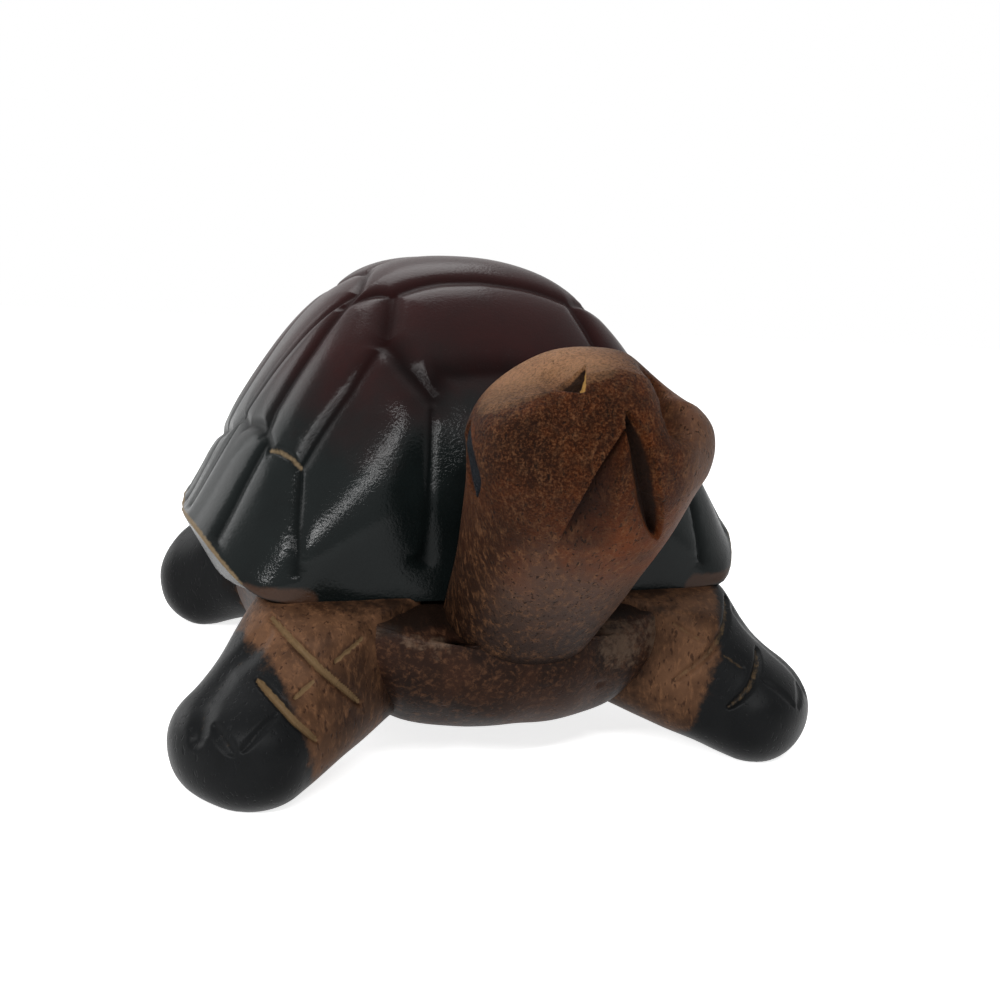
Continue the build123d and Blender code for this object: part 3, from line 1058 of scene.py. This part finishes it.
def body_form(directions):
    slide, turn = slide_and_turn(directions)
    inset = np.interp(slide, body_at, body_inset)
    radius = oblong_radius(turn, BODY_HALF_WIDTH - inset, BODY_HALF_LENGTH - inset, BODY_POWER)
    radius = radius * np.interp(slide, body_at, body_share)
    points = np.column_stack((
        radius * np.cos(turn),
        BODY_MIDDLE_Y + radius * np.sin(turn),
        np.interp(slide, body_at, body_z),
    ))
    # shoulders fill the corners under the shell's front, and the tail is drawn out at the rear
    for side in (-1, 1):
        points += swell(points, side, (22, -20, 16), 13, (4.5, -1.0, 0))
        points += swell(points, side, (14, -28, 13), 8, (0, -1.2, 0))
    points = under_chest_slope(points, 0.0)
    points += swell(points, 1, (0, -32, 12), 12, (0, -2.0, 1.2))
    return points + swelling(points, TAIL_ROOT, TAIL_RADIUS)[:, None] * TAIL_PULL


print("body height in mm:", round((SEAT_Z - BELLY_Z) / MM, 1))

# %% Carve the body
# each patch: its centre and radius in mm
CHEST_PATCHES = [
    (-10.5, -30.2, 16.0, 3.0),
    (-13.5, -29.4, 16.2, 2.6),
    (-17.0, -27.5, 17.0, 2.4),
    (11.0, -30.0, 15.0, 8.0),
    (17.0, -28.0, 15.0, 7.0),
]
CHEST_HOLES = [(3.7, -31.7, 12.7), (-1.8, -31.4, 11.1), (8.6, -30.2, 10.6)]
HOLE_RADIUS = 0.9 * MM
HOLE_DEPTH = 0.7 * MM
NECK_CREASE_DEPTH = 0.6 * MM
LEG_CREASE_DEPTH = 0.4 * MM
LEDGE_TEAR = 0.5 * MM

block, points, normals = shaped_block(7, body_form)
crease = fall_off(head_form.gap(points), 1.1)
leg_crease = fall_off(np.min([form.gap(points) for form in leg_forms.values()], axis=0), 0.9)
holes = np.max([swelling(points, spot(*each), HOLE_RADIUS) for each in CHEST_HOLES], axis=0)
# the ledge beside the neck, torn, with painted shade in its hollow
x, y, z = points.T
ledge = beyond(z, 14, 3) * beyond(y, -20, -3) * beyond(y, -30, 3) * beyond(np.abs(x), 20, -5)
ledge = ledge * (0.75 + 0.35 * hand_waver(points, 3 * MM, 13.0))
push = 0.25 * MM * hand_waver(points, 6 * MM, 7.0)
push = push - LEDGE_TEAR * ledge * hand_waver(points, 1.6 * MM, 15.0)
push = push - NECK_CREASE_DEPTH * crease - LEG_CREASE_DEPTH * leg_crease - HOLE_DEPTH * holes
flat_top = (z > SEAT_Z - 0.4 * MM) & (y > FRONT_WALL_Y)
points = points + normals * np.where(flat_top, 0, push)[:, None]
move_points(block, points)
# painted shadow on the body under the shell
shadow_under_shell = beyond(points[:, 2], 13, 5) * beyond(points[:, 1], -17, 6)
pale = np.max([swelling(points, spot(*each[:3]), each[3] * MM) for each in CHEST_PATCHES], axis=0)
painted_shade = [0.65 * crease, 0.6 * leg_crease, holes, shadow_under_shell, ledge]
finish_piece(block, "body_block", "body", body_wood, {
    "fresh": 0.62 * pale,
    "dark": np.maximum.reduce(painted_shade),
})

# %% [markdown]
# ## Head and neck
# The head is a wedge with a flat top, sharp brows and cheeks that stand out. Its main shape comes first:
# the limb, with the cheeks drawn out, a valley beside the snout and its sides planed off. Lines that the
# photograph shows are then laid on that shape along the camera's lines of sight.

# %% Main shape of the head
BROW_X = np.array((0.0, 3.0, 6.0, 9.0, 12.2)) * MM
BROW_Z = np.array((47.0, 46.5, 45.5, 44.3, 42.6)) * MM
VALLEY = seen_on(skin_of(head_form), (664, 374), (676, 394), (682, 415), (684, 435), (684, 455))
# the turtle's left valley was cut deeper than its right one
VALLEY_SHARES = {1: 1.0, -1: 0.25}
VALLEY_DEPTH = 4.0 * MM
VALLEY_HEADING = np.array((0.0, 0.78, -0.62))
BROW_STANDS_OUT = 0.6 * MM


def over_brow(points):
    """How far points lie above the brow line."""
    return points[:, 2] - np.interp(np.abs(points[:, 0]), BROW_X, BROW_Z)


def head_shape(directions):
    points = head_form(directions)
    moved = np.zeros_like(points)
    for side, share in VALLEY_SHARES.items():
        # cheek, valley, and the planed side of the snout
        moved += swell(points, side, (12.0, -43.0, 40.0), 7, (0.4, -0.8, 0.0))
        gap, _, _, along, length = nearest_on_line(points, VALLEY if side > 0 else mirrored(VALLEY))
        hollow = 0.7 * fall_off(gap, 1.5) + 0.3 * fall_off(gap, 2.8)
        hollow = hollow * soft_step((length - along) / (5 * MM))
        moved += VALLEY_DEPTH * share * hollow[:, None] * VALLEY_HEADING
        moved += swell(points, side, (8.5, -43.0, 46.5), 6.5, (-0.6, 0.2, -0.7))
    # a crisp edge along the brow: the face stands out just below it
    above = over_brow(points)
    in_front = beyond(points[:, 1], -38, -6)
    edge = np.where(above < 0, np.exp(above / (2.4 * MM)), np.exp(-above / (0.5 * MM))) * in_front
    outward = np.column_stack((0.6 * points[:, 0], np.full(len(points), -8 * MM), np.zeros(len(points))))
    return points + moved + BROW_STANDS_OUT * edge[:, None] * unit(outward)


head_skin = skin_of(head_shape, 7)
print("head shaped")

# %% [markdown]
# The mouth is cut as an inverted V under the snout: on the turtle's right a wide facet behind a crisp lip,
# on its left a narrow leaf-shaped gouge. Each nostril is one chip of the knife, and each eye a recess with
# a rounded eyeball in it.

# %% Lines on the face
LIP_LINE = seen_on(head_skin, (631, 421), (599, 471), (558, 547))
GOUGE_LINE = seen_on(head_skin, (628, 413), (640, 445), (646, 473), (650, 502), (658, 538))
NOSTRIL_RIGHT = seen_on(head_skin, (585.5, 367), (578, 389.5))
NOSTRIL_LEFT = mirrored(NOSTRIL_RIGHT)
EYE_PIXELS = [(467.6, 461), (469, 431), (476, 493)]
EYE_RIGHT, EYE_TOP, EYE_FOOT = (seen_on(head_skin, each, each)[0] for each in EYE_PIXELS)
EYE_OUT = np.array(head_skin.find_nearest(Vector(EYE_RIGHT))[1])
EYE_LONG = unit(EYE_TOP - EYE_FOOT)
EYE_HALF_LENGTH = 3.9 * MM
EYE_HALF_WIDTH = 3.2 * MM


def almond(points, centre, lengthwise, across):
    """0 outside an almond shape, rising to 1 at its middle."""
    offset = points - centre
    share = offset @ lengthwise / EYE_HALF_LENGTH
    width = EYE_HALF_WIDTH * np.clip(1 - share * share, 0, 1)
    near = np.linalg.norm(offset, axis=1) < 1.3 * EYE_HALF_LENGTH
    inside = np.clip(1 - np.abs(offset @ across) / np.maximum(width, 1e-6), 0, 1)
    return np.where(near & (width > 0), inside, 0)


lip_length = sum(np.linalg.norm(b - a) for a, b in zip(LIP_LINE, LIP_LINE[1:]))
print("lip line in mm:", round(lip_length / MM, 1))

# %% Cuts of the head
eye_line = [EYE_RIGHT - EYE_LONG * 3 * MM, EYE_RIGHT + EYE_LONG * 3 * MM]
fine_lines = [LIP_LINE, GOUGE_LINE, NOSTRIL_RIGHT, NOSTRIL_LEFT, eye_line, mirrored(eye_line)]
head, points, normals = shaped_block(7, head_shape, fine_lines, 2.4 * MM)
points = points + normals * (0.12 * MM * hand_waver(points, 7 * MM, 11.0))[:, None]
facet = one_sided_cut(points, normals, LIP_LINE, 0.25 * MM, 6.0 * MM, fade=5 * MM)
gouge = v_cut(points, GOUGE_LINE, 2.9 * MM, 0.5)


def nostril_cuts(inner, outer):
    """The same cut along both nostrils, with its inner and outer width in mm."""
    right = one_sided_cut(points, normals, NOSTRIL_RIGHT, inner * MM, outer * MM, stop=0.4 * MM)
    left = one_sided_cut(points, normals, NOSTRIL_LEFT, outer * MM, inner * MM, stop=0.4 * MM)
    return np.maximum(right, left)


chips = nostril_cuts(2.4, 0.8)
chip_walls = nostril_cuts(0.05, 1.0)
eye_across = unit(np.cross(EYE_LONG, EYE_OUT))
eyes = np.maximum(
    almond(points, EYE_RIGHT, EYE_LONG, eye_across),
    almond(points, EYE_RIGHT * FLIP, EYE_LONG * FLIP, eye_across * FLIP),
)
print("points of the head:", len(points))

# %% Carve the head
FACET_DEPTH = 1.4 * MM
GOUGE_DEPTH = 1.9 * MM
CHIP_DEPTH = 0.9 * MM
EYE_RECESS = 0.7 * MM
EYEBALL_RISE = 0.55 * MM
push = -FACET_DEPTH * facet - GOUGE_DEPTH * gouge - CHIP_DEPTH * chips
push += EYEBALL_RISE * soft_step((eyes - 0.2) / 0.8) - EYE_RECESS * soft_step(eyes / 0.25)
move_points(head, points + normals * push[:, None])
x, y, z = points.T
above = over_brow(points)
smooth_top = soft_step(above / (1.4 * MM) + 0.5) * beyond(x, 5, -8)
grit = (1 - 0.35 * smooth_top) * (1 - 0.8 * np.sqrt(facet)) * beyond(z, 27, 12) * beyond(x, 9, -5)
# painted highlight along the brow edge
painted_brow_highlight = fall_off(above, 0.9) * beyond(x, 2, -5) * beyond(y, -38, -5)
# painted shadow where the neck goes into the body
neck_base_shadow = np.clip(1 - (z - 13.8 * MM) / (3.0 * MM), 0, 1)
finish_piece(head, "head", "head_and_neck", head_wood, {
    "top": smooth_top,
    "grit": grit,
    "brow": painted_brow_highlight,
    "fresh": np.minimum(1.6 * chip_walls, 1),
    # painted shade in the gouge, partly dark stain, and on the nostril chips; painted shadow at the neck's
    # base
    "dark": np.maximum.reduce([1.4 * gouge, 1.6 * chips * (1 - chip_walls), 0.8 * neck_base_shadow]),
    "shaded": facet**0.35,
    "eye": eyes,
})

# %% [markdown]
# ## Legs
# The legs are flippers with flat soles, whose thighs swell up to the shell. The knife left two long cuts
# across each front leg, short cuts between them and notches for the toes. They are drawn once, on the front
# right leg, and the front left leg takes them over in its own directions. The rear legs stay plain.

# %% Main shape of a leg
class LegShape:
    """A limb whose thigh rises to the shell, with a flat sole."""

    def __init__(self, form, rise):
        self.form, self.rise = form, rise

    def __call__(self, directions):
        points = self.form(directions)
        middle, _, _, heading = (each[0] for each in self.form.axes(0.5))
        reach = (points - self.form.root) @ heading
        upper = np.clip((points[:, 2] - middle[2]) / (6 * MM), 0, 1)
        points[:, 2] += self.rise * beyond(reach, 23, -14) * upper
        points[:, 2] = np.maximum(points[:, 2], 0.0)
        return under_chest_slope(points, 0.7 * MM)


THIGH_RISE = {"front": 8.0 * MM, "rear": 4.0 * MM}
leg_shapes = {title: LegShape(form, THIGH_RISE[title.split("_")[0]]) for title, form in leg_forms.items()}
leg_skins = {title: skin_of(each) for title, each in leg_shapes.items()}
print("legs shaped:", list(leg_shapes))

# %% Knife marks of the front right leg
first_skin = leg_skins["front_right_leg"]
# each mark: its line in the picture, its width and depth in mm
LONG_CUTS = [
    (seen_on(first_skin, (270, 616), (295, 643), (323, 670), (360, 702)), 1.6, 0.65),
    (seen_on(first_skin, (257, 679), (276, 700), (295, 721), (318, 740)), 1.6, 0.65),
    (seen_on(first_skin, (335, 662), (352, 648), (364, 637)), 1.0, 0.4),
    (seen_on(first_skin, (295, 698), (314, 681)), 1.0, 0.3),
]
TOE_CUTS = [
    (seen_on(first_skin, (243, 750), (259, 732), (276, 715)), 1.5, 0.3),
    (seen_on(first_skin, (264, 635), (245, 656), (230, 668), (205, 702), (196, 738)), 5.0, 0.45),
    (seen_on(first_skin, (214, 726), (222, 739), (232, 753)), 2.2, 0.3),
]


def taken_over(places, old, new, mirror):
    """Places on one leg, in that leg's own directions, put on another."""
    old_axes = [each[0] for each in old.axes(0.5)]
    new_axes = [each[0] for each in new.axes(0.5)]
    result = []
    for each in places:
        sides = [(each - old.end) @ axis for axis in old_axes[1:]]
        sides[0] *= mirror
        result.append(new.end + sum(amount * axis for amount, axis in zip(sides, new_axes[1:])))
    return result


print("knife marks of a leg:", len(LONG_CUTS + TOE_CUTS))

# %% Carve the legs
# for each leg: how deep its marks are, how pale they are, and from how far out in mm it is black
LEG_STATES = {
    "front_right_leg": (1.0, 1.0, 13.0),
    "front_left_leg": (0.8, 0.55, 8.5),
    # the rear legs are black almost to the body: black stain, and painted shadow under the shell
    "rear_right_leg": (0.0, 0.0, 6.0),
    "rear_left_leg": (0.0, 0.0, 6.0),
}
WAVER_OF_LEG = 0.22 * MM
LEAF = 0.15
first = leg_forms["front_right_leg"]
for seed, (title, form) in enumerate(leg_forms.items()):
    mirror = 1 if title in ("front_right_leg", "rear_left_leg") else -1
    carved, pale_share, dipped_from = LEG_STATES[title]
    marks = [
        (laid_on(leg_skins[title], taken_over(places, first, form, mirror)), width * MM, deep * MM)
        for places, width, deep in LONG_CUTS + TOE_CUTS
    ]
    leg, points, normals = shaped_block(6, leg_shapes[title], [each[0] for each in marks], 2.0 * MM)
    on_sole = points[:, 2] < 0.02 * MM
    push = WAVER_OF_LEG * hand_waver(points, 6 * MM, 20.0 + seed)
    cuts = [v_cut(points, places, width, LEAF) for places, width, _ in marks]
    for cut, (_, _, deep) in zip(cuts, marks):
        push = push - carved * deep * soft_step(cut)
    long_cuts = np.max(cuts[: len(LONG_CUTS)], axis=0)
    toe_cuts = np.max(cuts[len(LONG_CUTS) :], axis=0)
    fresh = soft_step((long_cuts - 0.25) / 0.4)
    # painted shade on the walls of the long cuts
    cut_wall_shade = 0.5 * soft_step(long_cuts / 0.2) * (1 - fresh)
    points = points + normals * np.where(on_sole, 0, push)[:, None]
    points[:, 2] = np.maximum(points[:, 2], 0.0)
    move_points(leg, points)
    middle, sideways, _, heading = (each[0] for each in form.axes(0.5))
    reach = (points - form.root) @ heading
    outer = (points - middle) @ sideways * mirror
    foot = np.clip((reach - dipped_from * MM + 0.45 * outer) / (5.0 * MM), 0, 1)
    # painted shade near the body, where the leg goes under the shell
    shade_near_body = 0.5 * beyond(reach, 12, -6) * (1 + 0.5 * hand_waver(points, 3 * MM, 30.0 + seed))
    finish_piece(leg, title.replace("leg", "flipper"), title, leg_wood, {
        "fresh": pale_share * np.maximum(0.8 * fresh, 0.35 * toe_cuts),
        "foot": foot,
        "dark": np.maximum(shade_near_body, carved * cut_wall_shade),
    })

# %% [markdown]
# ## Dowels
# Seven dowels hold the pieces together. They stay hidden, so the solid model's own meshes are kept, and
# only their finish changes.

# %% Dowel finish
for title in ("neck_dowel", "leg_dowels", "carapace_dowels"):
    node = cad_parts[title]
    node.data.materials.clear()
    node.data.materials.append(dowel_wood)
print("dowels finished in", dowel_wood.name)
